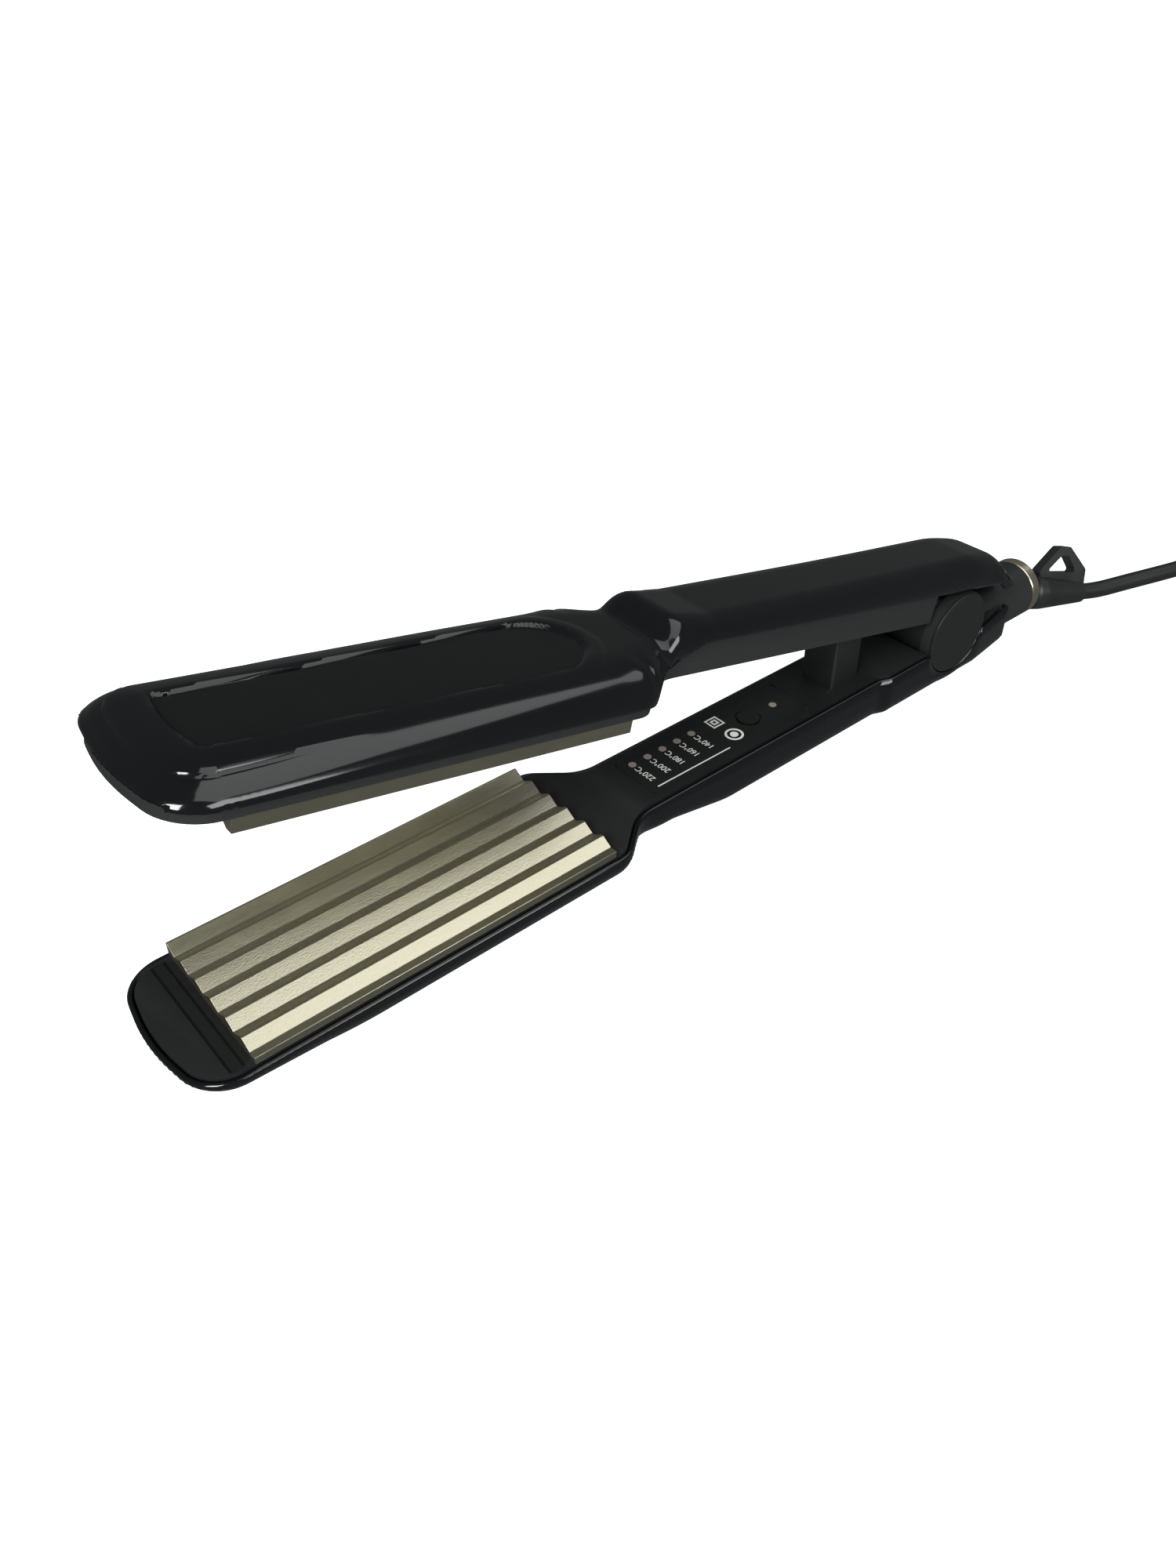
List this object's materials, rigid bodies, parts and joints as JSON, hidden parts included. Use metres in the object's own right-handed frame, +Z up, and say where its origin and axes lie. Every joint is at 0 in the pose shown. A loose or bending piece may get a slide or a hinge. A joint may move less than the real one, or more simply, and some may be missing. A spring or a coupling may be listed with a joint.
{
  "type": "hair crimper",
  "caption": "Two-arm hair crimper with mating corrugated heat plates, sprung hinge, control panel and swivel mains cord.",
  "frame": {"origin": "on the table under the middle of the tool without its cord (half way from the nose to the swivel ring)", "axes": "+X towards the cord, +Z up, +Y to the left of a user who looks along +X; the lower arm lies flat and the upper arm stands open"},
  "size_m": [0.681, 0.0615, 0.0939],
  "materials": {
    "gloss_shell": "polished black moulding",
    "satin_frame": "satin grey-black moulding",
    "fascia": "fine matt film",
    "trim": "satin black",
    "dark_metal": "turned, dark anodised",
    "heat_plate": "titanium coloured coating, satin",
    "ceramic": "fired ceramic, matt",
    "insulation": "amber film",
    "steel": "zinc plated",
    "carrier": "heat resistant moulding",
    "brass": "turned",
    "wire_insulation": "glass braid",
    "board": "solder mask",
    "led_lens": "unlit diffusing lens",
    "button": "satin cap",
    "pale_gold": "pale gold anodised, satin",
    "boot_rubber": "moulded PVC",
    "cord": "smooth PVC sheath"
  },
  "bodies": {
    "lower_arm": {"arm_wires": "wire_insulation", "board_spacers": "carrier", "brass_contacts": "brass", "circuit_board": "board", "contact_carrier": "carrier", "control_fascia": "fascia", "cord_hank": "cord", "cord_lead": "cord", "cord_plug_lead": "cord", "cord_ties": "carrier", "hinge_cap_far": "satin_frame", "hinge_cap_near": "satin_frame", "hinge_pin": "steel", "lower_arm_screws": "steel", "lower_ceramic_heater": "ceramic", "lower_heat_plate": "heat_plate", "lower_heater_clip": "steel", "lower_inner_frame": "satin_frame", "lower_insulation_sheet": "insulation", "lower_outer_shell": "gloss_shell", "lower_plate_carrier": "carrier", "lower_temperature_sensor": "ceramic", "opening_spring": "steel", "plug_body": "boot_rubber", "plug_pins": "brass", "power_led": "led_lens", "power_switch_chip": "carrier", "supply_capacitor": "wire_insulation", "swivel_ring": "pale_gold", "tact_switch": "steel", "tail_socket": "satin_frame", "temperature_leds": "led_lens", "thermal_fuse": "ceramic"},
    "upper_arm": {"upper_outer_shell": "gloss_shell", "upper_inner_frame": "satin_frame", "upper_trim_panel": "trim", "medallion": "dark_metal", "upper_heat_plate": "heat_plate", "upper_ceramic_heater": "ceramic", "upper_insulation_sheet": "insulation", "upper_heater_clip": "steel", "upper_plate_carrier": "carrier", "upper_temperature_sensor": "ceramic", "hinge_bushes": "brass", "upper_arm_screws": "steel"},
    "push_button": {"push_button": "button"},
    "cord_swivel": {"swivel_ball": "boot_rubber", "strain_relief": "boot_rubber"}
  },
  "joints": [
    {"name": "arm_hinge", "type": "hinge", "parent": "lower_arm", "child": "upper_arm", "pos_m": [0.11, 0, 0.0195], "axis": [0, -1, 0], "range_deg": [0, 13.4], "stiffness_Nm_per_rad": 1.2, "springref_deg": -28.65, "deforming": ["opening_spring", "arm_wires"]},
    {"name": "button_press", "type": "slide", "parent": "lower_arm", "child": "push_button", "axis": [0, 0, -1], "range_m": [0, 0.0006], "stiffness_N_per_m": 600, "springref_m": -0.002},
    {"name": "cord_spin", "type": "hinge", "parent": "lower_arm", "child": "cord_swivel", "pos_m": [0.157, 0, 0.0112], "axis": [0.924, -0.3363, -0.1822], "continuous": true}
  ]
}
